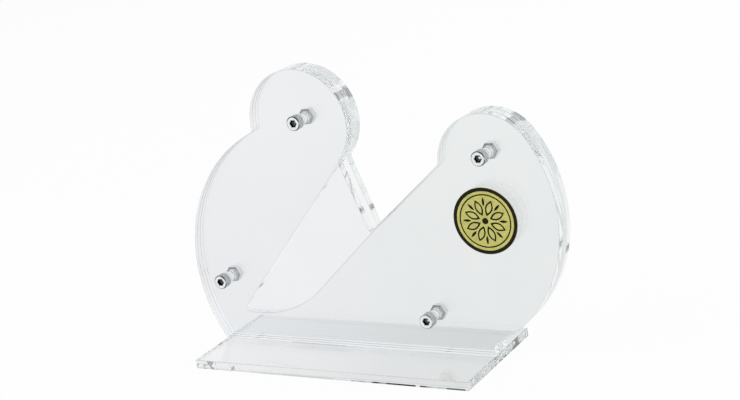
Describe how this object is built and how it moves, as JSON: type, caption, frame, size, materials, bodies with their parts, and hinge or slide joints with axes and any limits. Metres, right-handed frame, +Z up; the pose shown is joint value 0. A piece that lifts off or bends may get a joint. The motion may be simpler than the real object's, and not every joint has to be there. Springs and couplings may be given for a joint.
{
  "type": "knife display stand",
  "caption": "Clear acrylic knife display stand: an upright body of screwed plates with a V-shaped notch and an inner blade pocket, on a flat base plate.",
  "frame": {"origin": "under the middle of the whole stand, on the underside of the base plate", "axes": "+X along the base plate towards the side with the round label, +Y from the front to the back, +Z up"},
  "size_m": [0.2744, 0.092, 0.1967],
  "materials": {
    "clear_base": "clear polished acrylic",
    "clear_body": "clear polished acrylic",
    "screw_steel": "bright nickel plate",
    "nut_steel": "bright nickel plate",
    "label": "smooth black film"
  },
  "bodies": {
    "root": {"base_plate": "clear_base", "front_plate": "clear_body", "core_plate": "clear_body", "rear_plate": "clear_body", "screw_upper_left": "screw_steel", "screw_lower_left": "screw_steel", "screw_upper_right": "screw_steel", "screw_lower_right": "screw_steel", "nut_upper_left": "nut_steel", "nut_lower_left": "nut_steel", "nut_upper_right": "nut_steel", "nut_lower_right": "nut_steel", "label_plate": "label"}
  },
  "joints": []
}
